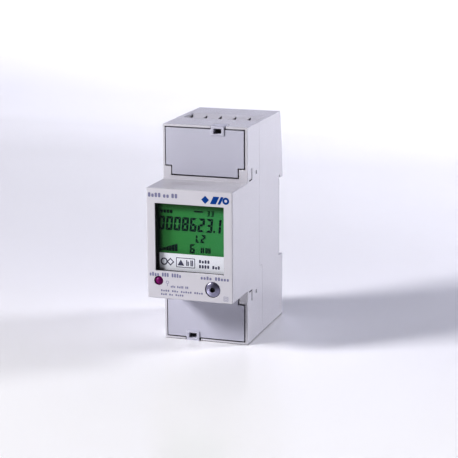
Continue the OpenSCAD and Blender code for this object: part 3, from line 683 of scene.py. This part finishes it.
def plate(name, low, high, mat, replaced=(), width=0.1):
    bm = bmesh.new()
    size = [b - a for a, b in zip(low, high)]
    centre = [(a + b) / 2 for a, b in zip(low, high)]
    bmesh.ops.create_cube(bm, size=1, matrix=Matrix.Translation(centre) @ Matrix.Diagonal((*size, 1)))
    bmesh.ops.bevel(bm, geom=bm.edges[:], offset=width * MM, segments=2, affect="EDGES", profile=0.5)
    for face in bm.faces:
        face.smooth = True
    piece = place(bm, name, "meter", mat, replaced)
    normals = piece.modifiers.new("normals", "WEIGHTED_NORMAL")
    normals.weight = 80
    return piece


# The label's film lies just behind the pane, and the display's glass in front of its signs
cell_y = cell_back * MM
film_low = (label_low[0], label_low[1] + 0.03 * MM, label_low[2])
glass_high = (lcd_high[0], cell_y - 0.05 * MM, lcd_high[2] - 1.2 * MM)
plate("label_film", film_low, label_high, label_mat, ["rating_label"], 0.01)
plate("lcd_back_plate", (lcd_low[0], cell_y, lcd_low[2]), lcd_high, back_mat, ["lcd_panel"])
plate("lcd_front_glass", lcd_low, glass_high, glass_mat)


# Studio ----------------------------------------------------------------------

floor_z = rear_low[2]


def floor_card():
    """Satin card, almost white, with painted shade: a little more lilac behind the meter and much darker
    where it curves up.
    """
    mat, tree, shader = material("floor_card")
    coord = add(tree, "ShaderNodeTexCoord")
    _, y, z = places(tree, coord)
    # Painted shade: the card is whitest towards the camera and turns lilac behind the meter.
    lilac_shade_behind = fade(tree, y, -0.16, 0.06, smooth=True)
    colours = tint(tree, lilac_shade_behind, (1.0, 1.0, 1.0), (0.92, 0.92, 0.965))
    # Painted shade: where the card curves up into the backdrop it darkens to a dusky grey-lilac.
    backdrop_shade = fade(tree, z, floor_z + 0.08, floor_z + 0.25, smooth=True)
    colours = tint(tree, backdrop_shade, colours, (0.22, 0.22, 0.28))
    slow = noise(tree, coord, 4.0, 3.0)
    colours = dimmed(tree, colours, spread(tree, slow.outputs["Fac"], 0.985, 1.0))
    tree.links.new(colours, shader.inputs["Base Color"])
    tree.links.new(spread(tree, slow.outputs["Fac"], 0.18, 0.24), shader.inputs["Roughness"])
    return mat


def sweep_floor():
    """A floor that curves up into a backdrop."""
    bm = bmesh.new()
    start, radius, reach, half_width, steps = 0.45, 0.6, 3.0, 3.5, 24
    profile = [(-reach, 0.0), (start, 0.0)]
    for k in range(1, steps + 1):
        turn = math.radians(90 * k / steps)
        profile.append((start + radius * math.sin(turn), radius - radius * math.cos(turn)))
    profile.append((start + radius, reach))
    rows = [[bm.verts.new((x, y, z + floor_z)) for y, z in profile] for x in (-half_width, half_width)]
    for k in range(len(profile) - 1):
        face = bm.faces.new((rows[0][k], rows[1][k], rows[1][k + 1], rows[0][k + 1]))
        face.smooth = True
    mesh = bpy.data.meshes.new("studio_floor")
    bm.to_mesh(mesh)
    bm.free()
    mesh.materials.append(floor_card())
    piece = bpy.data.objects.new("studio_floor", mesh)
    bpy.context.scene.collection.objects.link(piece)


sweep_floor()
bpy.context.scene.view_settings.view_transform = "Standard"
bpy.context.scene.view_settings.gamma = 0.8


def studio_world():
    """A faint bluish light all round, stronger near the horizon."""
    world = bpy.data.worlds.new("studio")
    bpy.context.scene.world = world
    world.use_nodes = True
    tree = world.node_tree
    sky = tree.nodes["Background"]
    sky.inputs["Color"].default_value = (0.90, 0.905, 1.0, 1)
    coord = add(tree, "ShaderNodeTexCoord")
    parts = add(tree, "ShaderNodeSeparateXYZ")
    tree.links.new(coord.outputs["Generated"], parts.inputs["Vector"])
    tree.links.new(fade(tree, parts.outputs["Z"], 0.1, 0.9, 0.12, 0.04), sky.inputs["Strength"])


studio_world()


def lamp(name, where, target, size, power, colour):
    data = bpy.data.lights.new(name, "AREA")
    data.shape = "RECTANGLE"
    data.size, data.size_y = size
    data.energy = power
    data.color = colour
    piece = bpy.data.objects.new(name, data)
    bpy.context.scene.collection.objects.link(piece)
    piece.location = where
    piece.rotation_mode = "QUATERNION"
    piece.rotation_quaternion = (Vector(target) - Vector(where)).to_track_quat("-Z", "Y")


lamp("key_light", (-0.86, -0.68, 0.58), (0, -0.03, 0), (0.28, 0.28), 18.8, (1, 0.985, 0.98))
lamp("side_light", (0.66, 0.34, 0.27), (0, -0.03, 0), (0.24, 0.24), 4.8, (0.97, 0.97, 1))
lamp("backdrop_light", (0.0, 0.55, 0.75), (0, 1.05, 0.62), (1.2, 0.3), 15, (0.97, 0.97, 1))


def photo_camera():
    """The camera stands to the right of the meter and a little above it, as in the photograph."""
    azimuth, elevation, roll = (math.radians(degrees) for degrees in (18.588, 13.162, -0.239))
    data = bpy.data.cameras.new("camera")
    data.lens = 121.3
    data.sensor_width = 36
    data.clip_start = 0.01
    data.clip_end = 20
    camera = bpy.data.objects.new("camera", data)
    bpy.context.scene.collection.objects.link(camera)
    camera.location = (0.2033, -0.6184, 0.1450)
    level = Euler((math.radians(90) - elevation, 0, azimuth)).to_quaternion()
    camera.rotation_mode = "QUATERNION"
    camera.rotation_quaternion = level @ Quaternion((0, 0, 1), roll)
    bpy.context.scene.camera = camera


photo_camera()
